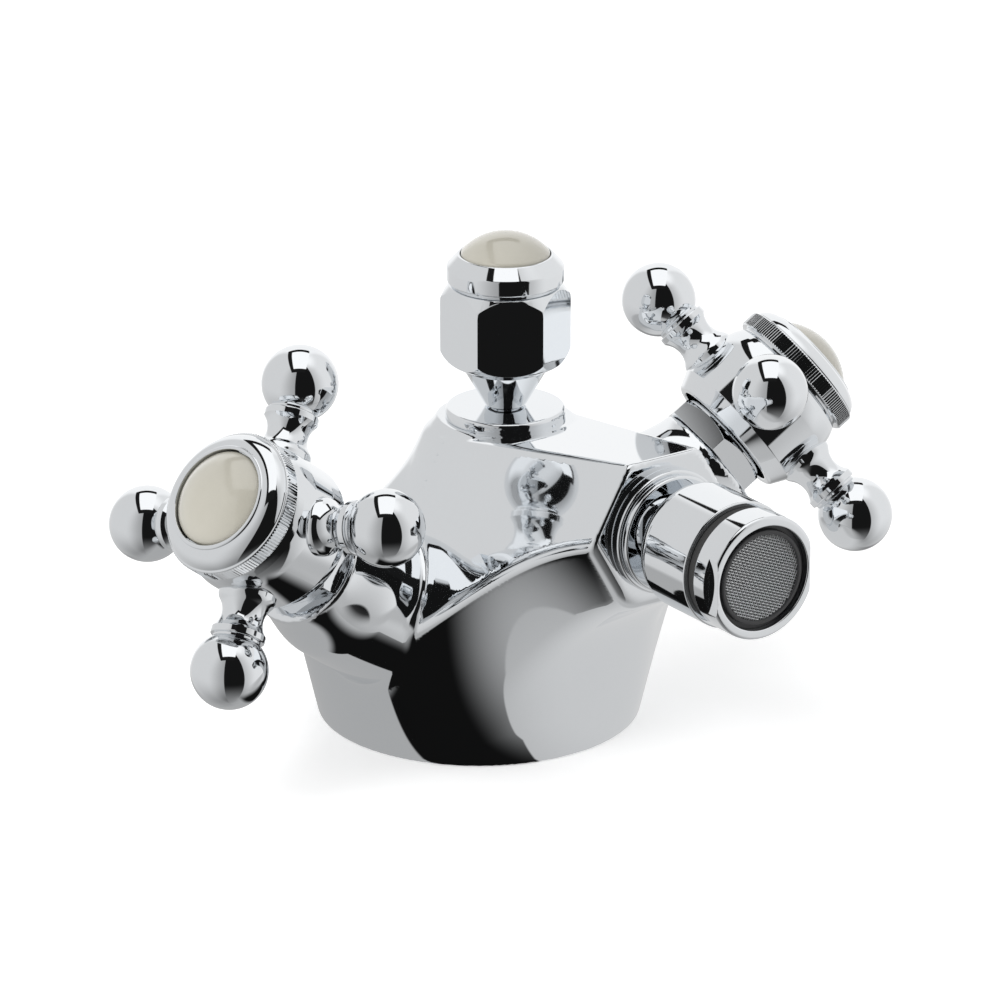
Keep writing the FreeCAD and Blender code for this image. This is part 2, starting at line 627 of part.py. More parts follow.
def knob():
    where = "knob_axis"
    rim_high = "(crown_height + guide_rim)"
    step_high = f"({rim_high} + guide_step)"
    stem_low = "(crown_height - guide_thread_length)"
    guide_solid = fuse(
        "guide_solid",
        cylinder("guide_stem", "guide_thread_radius", stem_low, "crown_height"),
        cylinder("guide_disc", "guide_radius", "crown_height", rim_high),
        cylinder("guide_collar", "guide_step_radius", rim_high, step_high),
    )
    bore = cylinder("guide_bore", "rod_radius + running_gap", stem_low, step_high)
    seal_low = f"({stem_low} + seal_drop)"
    seal_high = f"({seal_low} + seal_width)"
    seal_inner = "rod_radius + running_gap"
    seal_outer = "rod_radius + running_gap + seal_thickness"
    groove = ring("guide_groove", seal_outer, seal_inner, seal_low, seal_high)
    piece(cut("guide", guide_solid, bore, groove), "rod_guide", where)
    piece(ring("rod_seal", seal_outer, seal_inner, seal_low, seal_high), "rod_seal", where)

    hexed = hexagon("knob_hex", "knob_flats / sqrt(3)", HEX_LOW, HEX_HIGH, "30")
    corner_low = f"({HEX_LOW} + knob_bevel_low)"
    corner_high = f"({HEX_HIGH} - knob_bevel_high)"
    bevels = fuse(
        "knob_bevels",
        cone("knob_low_bevel", "knob_flats / 2", "knob_corner_radius", HEX_LOW, corner_low),
        cylinder("knob_corners", "knob_corner_radius", corner_low, corner_high),
        cone("knob_high_bevel", "knob_corner_radius", "knob_flats / 2", corner_high, HEX_HIGH),
    )
    solid = fuse(
        "knob_solid",
        common("knob_bevelled", hexed, bevels),
        cone("knob_under", "knob_cone_radius", "knob_flats / 2", CONE_HIGH, HEX_LOW),
        cone("knob_cone", "knob_foot_radius", "knob_cone_radius", KNOB_FOOT, CONE_HIGH),
    )
    rod_hole = cylinder("knob_rod_hole", "rod_radius", KNOB_FOOT, f"{KNOB_FOOT} + rod_in_knob")
    cap_hole = cylinder("knob_cap_hole", "cap_stem_radius", f"{HEX_HIGH} - cap_stem_length", HEX_HIGH)
    piece(cut("knob_body", solid, rod_hole, cap_hole), "knob_body", where)

    cap_solid = fuse(
        "cap_solid",
        cylinder("cap_stem", "cap_stem_radius", f"{HEX_HIGH} - cap_stem_length", HEX_HIGH),
        cylinder("cap_neck_band", "cap_neck_radius", HEX_HIGH, BAND_LOW),
        cylinder("cap_band", "cap_band_radius", BAND_LOW, BAND_HIGH),
        cone("cap_cone", "cap_band_radius", "cap_top_radius", BAND_HIGH, CAP_TOP),
    )
    seat = cylinder("cap_seat", "dome_radius", f"{CAP_TOP} - dome_seat_depth", CAP_TOP)
    piece(cut("cap", cap_solid, seat), "knob_cap_ring", where)

    edge_high = f"({CAP_TOP} + dome_edge)"
    dome_high = f"({edge_high} + dome_crown)"
    dome_sphere = "((dome_radius ^ 2 + dome_crown ^ 2) / (2 * dome_crown))"
    dome_cap = common(
        "dome_cap",
        cylinder("dome_blank", "dome_radius", f"{CAP_TOP} - dome_seat_depth", dome_high),
        sphere("dome_round", dome_sphere, f"{dome_high} - {dome_sphere}"),
    )
    dome_base = cylinder("dome_base", "dome_radius", f"{CAP_TOP} - dome_seat_depth", edge_high)
    piece(fuse("dome", dome_base, dome_cap), "knob_dome", where)

    rod = cylinder("rod_blank", "rod_radius", "rod_end_height", f"{KNOB_FOOT} + rod_in_knob")
    tapped = cylinder("rod_tap", "rod_tap_radius", "rod_end_height", "rod_end_height + rod_tap_depth")
    piece(cut("rod", rod, tapped), "lift_rod", where)


def jet():
    where = "jet_axis"
    step_high = "(collar_height + collar_step)"
    ball_high = "(ball_reach + ball_face)"
    stud_solid = fuse(
        "stud_solid",
        cylinder("stud_stem", "jet_thread_radius", "-jet_thread_length", "0"),
        cylinder("stud_collar", "collar_radius", "0", "collar_height"),
        cylinder("stud_step", "collar_step_radius", "collar_height", step_high),
        cylinder("stud_neck", "neck_radius", step_high, "ball_reach"),
        common(
            "stud_ball",
            sphere("stud_ball_round", "ball_radius", "ball_reach"),
            cylinder("stud_ball_limit", "ball_radius + overcut", "ball_reach - ball_radius", ball_high),
        ),
    )
    stud_bore = cylinder("stud_bore", "jet_bore_radius", "-jet_thread_length", ball_high)
    piece(cut("stud", stud_solid, stud_bore), "jet_ball_stud", where)
    washer = ring("washer", "washer_radius", "jet_thread_radius", "-washer_height", "0")
    piece(washer, "jet_stud_washer", where)

    liner_inner = "(ball_radius + running_gap)"
    liner_outer = f"({liner_inner} + liner_thickness)"
    cavity = f"({liner_outer} + running_gap)"
    liner_low = "ball_reach - liner_half_width"
    liner_high = "ball_reach + liner_half_width"
    liner_zone = common(
        "liner_zone",
        sphere("liner_outside", liner_outer, "ball_reach"),
        cylinder("liner_limit", "ball_radius + overcut", liner_low, liner_high),
    )
    liner_hollow = sphere("liner_inside", liner_inner, "ball_reach")
    piece(cut("liner", liner_zone, liner_hollow), "jet_ball_liner", where)

    housing_low = "(ball_reach - housing_back)"
    housing_high = "(ball_reach + housing_front)"
    seat_low = "(ball_reach + seat_back)"
    seat_high = f"({seat_low} + seat_thickness)"
    seal_high = f"({seat_high} + seal_height)"
    shoulder = f"({housing_low} + housing_shoulder)"
    housing = fuse(
        "housing_blank",
        cone("housing_cone", "housing_back_radius", "housing_radius", housing_low, shoulder),
        cylinder("housing_barrel", "housing_radius", shoulder, housing_high),
    )
    housing_thread = cylinder("housing_thread", "housing_thread_radius", seat_low, housing_high)
    housing_cavity = sphere("housing_cavity", cavity, "ball_reach")
    piece(cut("housing", housing, housing_cavity, housing_thread), "jet_housing", where)
    seat_blank = cylinder("seat_blank", "housing_thread_radius", seat_low, seat_high)
    piece(cut("seat", seat_blank, sphere("seat_cavity", cavity, "ball_reach")), "jet_seat_ring", where)
    seal = ring("jet_seal", "housing_thread_radius", "seal_bore_radius", seat_high, seal_high)
    piece(seal, "jet_seal", where)

    front_low = f"({housing_high} + front_gap)"
    front_high = f"({front_low} + front_ring_height)"
    insert_high = f"({front_high} - insert_recess)"
    insert_low = f"({insert_high} - insert_height)"
    front_solid = fuse(
        "front_solid",
        cylinder("front_stem", "housing_thread_radius", seal_high, front_low),
        cylinder("front_band", "front_ring_radius", front_low, front_high),
    )
    front_bore = cylinder("front_bore", "seal_bore_radius", seal_high, insert_low)
    insert_seat = cylinder("insert_seat", "insert_radius", insert_low, front_high)
    flat_low = f"({front_low} + spanner_flat_back)"
    flat_length = "2 * front_ring_radius + overcut"
    flats = []
    for flat, sign in (("right", ""), ("left", "-")):
        place = f"{sign}(spanner_flats + overcut) / 2"
        flats.append(box(f"spanner_flat_{flat}", "overcut", flat_length, flat_low, front_high, place))
    piece(cut("front", front_solid, front_bore, insert_seat, *flats), "jet_front_ring", where)
    screen_high = f"({insert_high} - screen_recess)"
    screen_low = f"({screen_high} - screen_thickness)"
    insert_blank = cylinder("insert_blank", "insert_radius", insert_low, insert_high)
    insert_open = cylinder("insert_open", "insert_bore_radius", screen_low, insert_high)
    insert_way = cylinder("insert_way", "seal_bore_radius", insert_low, screen_low)
    piece(cut("insert", insert_blank, insert_open, insert_way), "aerator_insert", where)

    screen = cylinder("screen_blank", "insert_bore_radius", screen_low, screen_high)
    pitch = SIZES["screen_pitch"]
    limit = SIZES["insert_bore_radius"] - pitch / 2 - SIZES["screen_hole_radius"]
    count = int(limit / pitch)
    holes = []
    for column in range(-count, count + 1):
        for row in range(-count, count + 1):
            if (column ** 2 + row ** 2) ** 0.5 * pitch > limit:
                continue
            hole = cylinder(f"screen_hole_{len(holes) + 1}", "screen_hole_radius", screen_low, screen_high)
            tie(hole, "Placement.Base.x", f"{column} * screen_pitch")
            tie(hole, "Placement.Base.y", f"{row} * screen_pitch")
            holes.append(hole)
    piece(cut("screen", screen, *holes), "aerator_screen", where)


casting()
for side in ("hot", "cold"):
    valve(side)
    handle(side)
knob()
jet()
doc.recompute()

for obj in doc.Objects:
    if "Invalid" in obj.State or "Error" in obj.State:
        raise RuntimeError(f"{obj.Label} failed: {obj.State}")
for obj in pieces:
    if obj.Shape.isNull() or not obj.Shape.isValid() or len(obj.Shape.Solids) != 1:
        raise RuntimeError(f"{obj.Label} is not one valid solid")

os.makedirs("parts", exist_ok=True)
for obj in pieces:
    obj.Shape.Solids[0].exportStep(f"parts/{obj.Label}.step")
print(len(pieces), "sub-parts")
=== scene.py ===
import json
import math

import bmesh
import bpy
import numpy as np
from mathutils import Matrix, Vector


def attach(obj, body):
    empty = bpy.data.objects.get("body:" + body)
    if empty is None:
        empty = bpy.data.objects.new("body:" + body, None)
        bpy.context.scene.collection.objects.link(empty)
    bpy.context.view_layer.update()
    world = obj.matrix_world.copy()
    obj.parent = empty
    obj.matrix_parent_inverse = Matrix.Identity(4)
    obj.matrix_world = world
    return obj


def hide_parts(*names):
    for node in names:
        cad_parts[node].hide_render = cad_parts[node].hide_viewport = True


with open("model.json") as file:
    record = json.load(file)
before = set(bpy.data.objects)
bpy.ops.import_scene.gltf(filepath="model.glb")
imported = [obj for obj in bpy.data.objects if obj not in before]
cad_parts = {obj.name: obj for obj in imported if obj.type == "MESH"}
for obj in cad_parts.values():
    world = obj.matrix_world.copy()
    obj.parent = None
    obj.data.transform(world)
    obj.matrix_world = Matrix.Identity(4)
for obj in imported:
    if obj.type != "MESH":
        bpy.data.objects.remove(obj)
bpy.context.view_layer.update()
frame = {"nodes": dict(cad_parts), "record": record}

# Bidet mixer tap. Each piece is drawn in millimetres about its own axis, then set in place in metres.
MILLIMETRE = 0.001
SCENE = bpy.context.scene

# Places of the axes, as in the part's source.
CROWN_OFFSET = 9.25
CROWN_HEIGHT = 64.5
BOSS_REACH = 62.0
JET_HEIGHT = 57.0
BALL_REACH = 13
JET_FRONT = 31.3
ARM_RISE = math.radians(36.5)
ARM_SWING = math.radians(11.4)
ARM_ROOT_OFFSET = 1.5
ARM_ROOT_HEIGHT = 10.9
HANDLE_REACH = 74.8
INLET_SPREAD = 11.7
STUD_OFFSET = 12.5
CROSS_ANGLE = {"hot": math.radians(14.3), "cold": math.radians(-32.2)}

# The camera of the photograph.
VIEW_AZIMUTH = math.radians(-34.89)
VIEW_ELEVATION = math.radians(20.61)
VIEW_DISTANCE = 1211.2
VIEW_LENS = 216.63
VIEW_RIGHT = 4.228
VIEW_UP = 41.05


def valve_axis(side):
    """The frame of a valve: its origin in the plane of the levers, its Z out along the arm."""
    sign = -1 if side == "hot" else 1
    yaw = math.pi + ARM_SWING if side == "hot" else -ARM_SWING
    out = HANDLE_REACH * math.cos(ARM_RISE)
    origin = Vector((
        sign * out * math.cos(ARM_SWING),
        -ARM_ROOT_OFFSET - out * math.sin(ARM_SWING),
        ARM_ROOT_HEIGHT + HANDLE_REACH * math.sin(ARM_RISE),
    ))
    lean = Matrix.Rotation(math.pi / 2 - ARM_RISE, 4, "Y")
    return Matrix.Translation(origin) @ Matrix.Rotation(yaw, 4, "Z") @ lean


KNOB_AXIS = Matrix.Translation((0, -CROWN_OFFSET, 0))
JET_AXIS = Matrix.Translation((0, -BOSS_REACH, JET_HEIGHT)) @ Matrix.Rotation(math.pi / 2, 4, "X")


class Value:
    """A shader socket that takes part in Python expressions."""

    def __init__(self, graph, socket):
        self.graph = graph
        self.socket = socket

    def math(self, operation, *others):
        return self.graph.node("ShaderNodeMath", {"operation": operation}, [self, *others])

    def __add__(self, other):
        return self.math("ADD", other)

    def __radd__(self, other):
        return self.math("ADD", other)

    def __sub__(self, other):
        return self.math("SUBTRACT", other)

    def __rsub__(self, other):
        return self.graph.node("ShaderNodeMath", {"operation": "SUBTRACT"}, [other, self])

    def __mul__(self, other):
        return self.math("MULTIPLY", other)

    def __rmul__(self, other):
        return self.math("MULTIPLY", other)

    def __truediv__(self, other):
        return self.math("DIVIDE", other)

    def step(self, low, high):
        """0 below low, 1 above high, with a soft edge between."""
        settings = {"interpolation_type": "SMOOTHSTEP"}
        return self.graph.node("ShaderNodeMapRange", settings, [self, low, high])

    def between(self, low, high, soft):
        """1 between two values, with soft edges."""
        return self.step(low - soft, low + soft) * (1 - self.step(high - soft, high + soft))


class Graph:
    """The node tree of one finish."""

    def __init__(self, tree):
        self.tree = tree

    def node(self, kind, settings=None, inputs=(), output=0):
        """Add a node with its settings and its inputs, by place or by name, and give one output back."""
        made = self.tree.nodes.new(kind)
        for key, value in (settings or {}).items():
            setattr(made, key, value)
        pairs = inputs.items() if isinstance(inputs, dict) else enumerate(inputs)
        for key, value in pairs:
            socket = made.inputs[key]
            if isinstance(value, Value):
                self.tree.links.new(value.socket, socket)
            else:
                socket.default_value = value
        return Value(self, made.outputs[output]) if made.outputs else None

    def noise(self, where, scale, detail=2.0):
        inputs = {"Vector": where, "Scale": scale, "Detail": detail}
        return self.node("ShaderNodeTexNoise", None, inputs)

    def along(self, where, direction):
        """How far a point or a ray goes in a direction."""
        settings = {"operation": "DOT_PRODUCT"}
        return self.node("ShaderNodeVectorMath", settings, {0: where, 1: direction}, "Value")

    def blend(self, factor, first, second):
        """A mix of two colours."""
        settings = {"data_type": "RGBA"}
        inputs = {0: factor, 6: (*first, 1), 7: (*second, 1)}
        return self.node("ShaderNodeMix", settings, inputs, 2)


GLOSS_SPREAD = 0.3


def finish(name, base, spread, roughness, metallic=0.0, coat=0.0, grain=(40, 1200), bump=0.0):
    """A finish whose colour, gloss and surface change a little over the piece."""
    material = bpy.data.materials.new(name)
    material.use_nodes = True
    tree = material.node_tree
    tree.nodes.clear()
    graph = Graph(tree)
    where = graph.node("ShaderNodeTexCoord", None, (), "Object")
    broad = graph.noise(where, grain[0], 3.0)
    fine = graph.noise(where, grain[1], 4.0)
    settled = broad * 0.7 + fine * 0.3
    inputs = {
        "Base Color": graph.blend(settled, base, tuple(b + s for b, s in zip(base, spread))),
        "Roughness": roughness * (1 - GLOSS_SPREAD) + settled * (2 * roughness * GLOSS_SPREAD),
        "Metallic": metallic,
        "Coat Weight": coat,
        "Coat Roughness": 0.03,
    }
    if bump:
        relief = {"Strength": 0.3, "Distance": bump, "Height": fine}
        inputs["Normal"] = graph.node("ShaderNodeBump", None, relief)
    shader = graph.node("ShaderNodeBsdfPrincipled", None, inputs)
    graph.node("ShaderNodeOutputMaterial", None, {"Surface": shader})
    return material


FINISH = {
    "chrome": finish("polished_chrome", (0.79, 0.81, 0.83), (0.05, 0.05, 0.05), 0.035, 1.0),
    "ceramic_index": finish(
        "ivory_glaze", (0.45, 0.43, 0.365), (0.06, 0.06, 0.06), 0.22, coat=0.9, grain=(120, 3000)
    ),
    "brass": finish("machined_brass", (0.62, 0.44, 0.19), (0.12, 0.10, 0.06), 0.28, 1.0),
    "disc_ceramic": finish("lapped_ceramic", (0.82, 0.80, 0.74), (0.08, 0.08, 0.08), 0.35, bump=0.00005),
    "rubber": finish("seal_rubber", (0.02, 0.02, 0.02), (0.03, 0.03, 0.03), 0.7, bump=0.0001),
    "steel": finish("wire_steel", (0.74, 0.75, 0.76), (0.12, 0.12, 0.12), 0.3, 1.0),
    "ptfe": finish("white_liner", (0.78, 0.78, 0.75), (0.10, 0.10, 0.10), 0.45, bump=0.00005),
    "black_plastic": finish("black_insert", (0.018, 0.018, 0.02), (0.02, 0.02, 0.02), 0.32, bump=0.0001),
}


class Turning:
    """A profile of radius and height, drawn point by point, that is then spun about its axis."""

    def __init__(self, radius, height, rounding=0.0):
        self.mesh = bmesh.new()
        self.mesh.verts.layers.int.new("corner")
        self.rounds = []
        self.start = self.tip = self.point(radius, height, rounding)

    def point(self, radius, height, rounding):
        made = self.mesh.verts.new((radius, 0, height))
        if rounding:
            self.rounds.append(rounding)
            made[self.mesh.verts.layers.int["corner"]] = len(self.rounds)
        return made

    def to(self, radius, height, rounding=0.0):
        """A straight line to the next corner, which gets its rounding once the profile is spun."""
        made = self.point(radius, height, rounding)
        self.mesh.edges.new((self.tip, made))
        self.tip = made
        return self

    def arc(self, radius, height, degrees, steps=12):
        """Swing on about a centre, from outwards to upwards for a positive angle."""
        swung = bmesh.ops.spin(
            self.mesh,
            geom=[self.tip],
            cent=(radius, 0, height),
            axis=(0, -1, 0),
            dvec=(0, 0, 0),
            angle=math.radians(degrees),
            steps=steps,
        )
        layer = self.mesh.verts.layers.int["corner"]
        self.mesh.verts.ensure_lookup_table()
        for vert in self.mesh.verts[-steps:]:
            vert[layer] = 0
        self.tip = next(item for item in swung["geom_last"] if isinstance(item, bmesh.types.BMVert))
        return self

    def close(self):
        self.mesh.edges.new((self.tip, self.start))
        return self

    def spun(self, segments=96):
        mesh = self.mesh
        bmesh.ops.spin(
            mesh,
            geom=mesh.verts[:] + mesh.edges[:],
            cent=(0, 0, 0),
            axis=(0, 0, 1),
            dvec=(0, 0, 0),
            angle=math.tau,
            steps=segments,
            use_merge=True,
        )
        bmesh.ops.remove_doubles(mesh, verts=mesh.verts[:], dist=0.0005)
        bmesh.ops.recalc_face_normals(mesh, faces=mesh.faces[:])
        for index, rounding in enumerate(self.rounds, 1):
            layer = mesh.verts.layers.int["corner"]
            ring = [e for e in mesh.edges if e.verts[0][layer] == index == e.verts[1][layer]]
            round_edges(mesh, ring, rounding)
        return mesh


def round_edges(mesh, edges, rounding):
    bmesh.ops.bevel(
        mesh,
        geom=edges,
        offset=rounding,
        offset_type="OFFSET",
        segments=3 + int(2 * rounding),
        profile=0.5,
        affect="EDGES",
        material=-1,
        clamp_overlap=True,
    )


def six_flats(mesh, across, turn, rounding):
    """Cut a turned blank to a hexagon and round the edges of its flats."""
    angles = [turn + i * math.pi / 3 for i in range(6)]
    normals = [Vector((math.cos(angle), math.sin(angle), 0)) for angle in angles]
    for normal in normals:
        cut = bmesh.ops.bisect_plane(
            mesh,
            geom=mesh.verts[:] + mesh.edges[:] + mesh.faces[:],
            dist=0.0001,
            plane_co=normal * across / 2,
            plane_no=normal,
            clear_outer=True,
        )
        rim = [item for item in cut["geom_cut"] if isinstance(item, bmesh.types.BMEdge)]
        bmesh.ops.edgenet_fill(mesh, edges=rim)
    bmesh.ops.recalc_face_normals(mesh, faces=mesh.faces[:])
    mesh.normal_update()
    edges = set()
    for face in mesh.faces:
        if any(face.normal.dot(normal) > 0.9999 for normal in normals) and len(face.verts) > 4:
            edges.update(face.edges)
    round_edges(mesh, list(edges), rounding)
    return mesh


def add_piece(name, mesh, place, body, slot, *nodes):
    """Make an object of a shape drawn in millimetres, let it ride on a body and stand for CAD nodes."""
    mesh.transform(Matrix.Scale(MILLIMETRE, 4) @ place)
    data = bpy.data.meshes.new(name)
    mesh.to_mesh(data)
    mesh.free()
    data.shade_smooth()
    data.set_sharp_from_angle(angle=math.radians(35))
    obj = bpy.data.objects.new(name, data)
    SCENE.collection.objects.link(obj)
    shading = obj.modifiers.new("even_shading", "WEIGHTED_NORMAL")
    shading.keep_sharp = True
    enlist(obj, body, slot, *nodes)


def enlist(obj, body, slot, *nodes):
    """Give an object its finish, its body and the CAD nodes that it stands for."""
    obj.data.materials.append(FINISH[slot])
    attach(obj, body)
    if nodes:
        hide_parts(*nodes)


# The casting is one blended surface, given by its distance in millimetres from any point.
FOOT_RADIUS = 32.3
SKIRT_FLARE = 0.235
SHOULDER_FLARE = 0.577
CROWN_RADIUS = 13.7
BOSS_RADIUS = 17.0
BOSS_ROOT_RADIUS = 28.5
BOSS_ROOT_HEIGHT = 38.2
BOSS_INSIDE = (0, -30, 48)
UNDER_BOSS_BACK = 20
ROOF_BACK = 14
HUB_RADIUS = 13.2
ARM_LOW, ARM_LOW_RADIUS = -54.0, 15.2
ARM_END, ARM_END_RADIUS = -14.0, 12.5
ARM_SHOULDER = 13.0
ARM_SAG = 2.2
# How widely its forms flow into each other, behind and in front.
REAR_START, REAR_LENGTH = 9, 12
SKIRT_BLEND = 16.0
SHOULDER_BLEND = 18.0
FACET_BLEND = 2.5
HUB_BLEND = 7.0
HUB_FILLET = 1.5
# How round its edges are.
SEAM_ROUND = 2.0
UNDER_BOSS_ROUND = 3.0
ARM_END_ROUND = 1.1
FACET_ROUND = 1.0
ROOF_ROUND = 1.2
FOOT_ROUND = 0.8


def ease(t):
    """From 0 to 1, slow at both ends."""
    t = np.clip(t, 0, 1)
    return t ** 2 * (3 - 2 * t)


def melt(a, b, blend):
    """The nearer of two surfaces, flowing into each other over a width."""
    overlap = np.maximum(blend - np.abs(a - b), 0) / blend
    return np.minimum(a, b) - overlap ** 2 * blend / 4


def trim(a, b, blend):
    """What two surfaces share, with a rounded edge."""
    return -melt(-a, -b, blend)


def boss_planes(points):
    """Distances from the six planes of the tapering boss, counted round from the right."""
    ends = ((BOSS_RADIUS, -BOSS_REACH, JET_HEIGHT), (BOSS_ROOT_RADIUS, -CROWN_OFFSET, BOSS_ROOT_HEIGHT))
    for i in range(6):
        corners = []
        for end, turn in ((0, i), (0, i + 1), (1, i)):
            radius, y, z = ends[end]
            angle = turn * math.pi / 3
            corners.append(np.array((radius * math.cos(angle), y, z + radius * math.sin(angle))))
        normal = np.cross(corners[1] - corners[0], corners[2] - corners[0])
        normal /= np.linalg.norm(normal)
        if (np.array(BOSS_INSIDE) - corners[0]) @ normal > 0:
            normal = -normal
        yield (points - corners[0]) @ normal


def arm_distance(points, side):
    """An arm: it swells from the nut inwards and hangs a little below the valve's axis."""
    to_arm = np.array(valve_axis(side).inverted())
    local = points @ to_arm[:3, :3].T + to_arm[:3, 3]
    along = local[:, 2]
    swell = ease((ARM_END - along) / ARM_SHOULDER)
    radius = ARM_END_RADIUS + (ARM_LOW_RADIUS - ARM_END_RADIUS) * swell
    wall = np.hypot(local[:, 0] - ARM_SAG, local[:, 1]) - radius
    return trim(wall, np.maximum(along - ARM_END, ARM_LOW - along), ARM_END_ROUND)


def casting_distance(points):
    """The casting: skirt, boss, shoulder, arms and hub, below zero inside."""
    x, y, z = points.T
    right, top, left, low_left, low, low_right = boss_planes(points)
    skirt = (np.hypot(x, y) - FOOT_RADIUS - SKIRT_FLARE * z) / math.hypot(1, SKIRT_FLARE)
    under_boss = trim(trim(low_left, low, UNDER_BOSS_ROUND), low_right, UNDER_BOSS_ROUND)
    under_boss = np.maximum(under_boss, y + UNDER_BOSS_BACK)
    lower = melt(skirt, under_boss, SKIRT_BLEND)
    behind = np.maximum(y + CROWN_OFFSET, 0)
    lean = math.hypot(1, SHOULDER_FLARE)
    shoulder = (np.hypot(x, behind) - CROWN_RADIUS - SHOULDER_FLARE * (CROWN_HEIGHT - z)) / lean
    sides = np.where(y > -CROWN_OFFSET, shoulder, trim(left, right, FACET_ROUND))
    roof = np.where(y > -ROOF_BACK, np.maximum(top, z - CROWN_HEIGHT), top)
    upper = trim(trim(sides, roof, ROOF_ROUND), -BOSS_REACH - y, FACET_ROUND)
    core = trim(lower, upper, SEAM_ROUND)
    above = ease((upper - lower) / 4 + 0.5)
    rear = ease((y + REAR_START) / REAR_LENGTH)
    arms = np.minimum(arm_distance(points, "hot"), arm_distance(points, "cold"))
    whole = melt(core, arms, 1 + above * (FACET_BLEND - 1 + (SHOULDER_BLEND - FACET_BLEND) * rear))
    hub = trim(np.hypot(x, y + CROWN_OFFSET) - HUB_RADIUS, z - CROWN_HEIGHT, FACET_ROUND)
    return trim(melt(whole, hub, HUB_FILLET + (HUB_BLEND - HUB_FILLET) * rear), -z, FOOT_ROUND)


def casting_slope(points):
    """The direction out of the casting's surface, and how steeply the distance grows that way."""
    reach = 0.02
    slope = np.empty_like(points)
    for axis in range(3):
        shift = np.zeros(3)
        shift[axis] = reach
        change = casting_distance(points + shift) - casting_distance(points - shift)
        slope[:, axis] = change / (2 * reach)
    length = np.linalg.norm(slope, axis=1, keepdims=True)
    return slope / length, length[:, 0]


def coordinates(data):
    points = np.empty(len(data.vertices) * 3)
    data.vertices.foreach_get("co", points)
    return points.reshape(-1, 3)


def with_modifier(data, kind, **settings):
    """The mesh after one modifier."""
    obj = bpy.data.objects.new("blank", data)
    SCENE.collection.objects.link(obj)
    modifier = obj.modifiers.new("step", kind)
    for key, value in settings.items():
        setattr(modifier, key, value)
    made = bpy.data.meshes.new_from_object(obj.evaluated_get(bpy.context.evaluated_depsgraph_get()))
    bpy.data.objects.remove(obj)
    return made


def carved(data, tools):
    """The mesh with other closed shapes taken out of it, one by one."""
    for mesh in tools:
        tool_data = bpy.data.meshes.new("hollow")
        mesh.to_mesh(tool_data)
        mesh.free()
        tool = bpy.data.objects.new("hollow", tool_data)
        SCENE.collection.objects.link(tool)
        data = with_modifier(data, "BOOLEAN", operation="DIFFERENCE", solver="MANIFOLD", object=tool)
        bpy.data.objects.remove(tool)
    return data


def bar(mesh, place, radius, low, high, top_radius=None, segments=48):
    """Add a closed cylinder or cone along the axis of a frame."""
    bmesh.ops.create_cone(
        mesh,
        cap_ends=True,
        segments=segments,
        radius1=radius,
        radius2=radius if top_radius is None else top_radius,
        depth=high - low,
        matrix=place @ Matrix.Translation((0, 0, (low + high) / 2)),
    )


def casting_blank():
    """A rough union of the casting's forms, from which its surface is drawn in."""
    mesh = bmesh.new()
    bar(mesh, Matrix.Identity(4), FOOT_RADIUS, 0, 34, 40)
    bar(mesh, KNOB_AXIS, 32, 30, CROWN_HEIGHT, CROWN_RADIUS)
    bar(mesh, JET_AXIS, BOSS_RADIUS, -50, 0, None, 6)
    for side in CROSS_ANGLE:
        bar(mesh, valve_axis(side), ARM_LOW_RADIUS, ARM_LOW, ARM_END, ARM_END_RADIUS)
    data = bpy.data.meshes.new("casting_blank")
    mesh.to_mesh(data)
    mesh.free()
    return data


def drawn_in(data, rounds):
    """Move each vertex onto the casting's surface, in short steps."""
    points = coordinates(data)
    for _ in range(rounds):
        out, steep = casting_slope(points)
        travel = np.clip(casting_distance(points) / np.maximum(steep, 0.3), -1.2, 1.2)
        points -= travel[:, None] * out
    data.vertices.foreach_set("co", points.ravel())
    data.update()
    return data


def casting_hollows():
    """The passages and threads that open in the casting."""
    hollows = []

    def hollow(place, radius, low, high):
        mesh = bmesh.new()
        bar(mesh, place, radius, low, high)
        hollows.append(mesh)

    for side, sign in (("hot", -1), ("cold", 1)):
        hollow(valve_axis(side), 9.2, -34.4, -13)
        hollow(valve_axis(side), 3.5, -60, -34)
        inlet_y = -ARM_ROOT_OFFSET - INLET_SPREAD * math.tan(ARM_SWING)
        hollow(Matrix.Translation((sign * INLET_SPREAD, inlet_y, 0)), 4.5, -1, 19.7)
    hollow(Matrix.Translation((0, STUD_OFFSET, 0)), 3.4, -1, 18)
    hollow(KNOB_AXIS, 3.4, -1, 56)
    hollow(KNOB_AXIS, 6.5, 54, CROWN_HEIGHT + 1)
    hollow(JET_AXIS, 4.5, -45, -8)
    hollow(JET_AXIS, 6.5, -10, 1)
    hollow(JET_AXIS, 9.0, -1.2, 1)
    groove = Turning(27, -1).to(30.5, -1).to(30.5, 2).to(27, 2).close().spun()
    hollows.append(groove)
    return hollows


def body_casting():
    """The casting's skin, with normals straight from its surface, and its hollows."""
    coarse = with_modifier(casting_blank(), "REMESH", mode="VOXEL", voxel_size=1.6)
    coarse = drawn_in(coarse, 24)
    fine = with_modifier(coarse, "REMESH", mode="VOXEL", voxel_size=0.68)
    data = carved(drawn_in(fine, 8), casting_hollows())
    points = coordinates(data)
    out, _ = casting_slope(points)
    on_skin = np.abs(casting_distance(points)) < 0.05
    normals = np.empty((len(data.loops), 3))
    for face in data.polygons:
        corners = list(face.loop_indices)
        around = [data.loops[corner].vertex_index for corner in corners]
        skin = on_skin[around].all() and abs(out[around].mean(axis=0) @ np.array(face.normal)) > 0.6
        normals[corners] = out[around] if skin else np.array(face.normal)
    data.transform(Matrix.Scale(MILLIMETRE, 4))
    data.shade_smooth()
    data.normals_split_custom_set(normals.tolist())
    obj = bpy.data.objects.new("casting_skin", data)
    SCENE.collection.objects.link(obj)
    data.materials.clear()
    enlist(obj, "tap_body", "chrome", "body_casting")


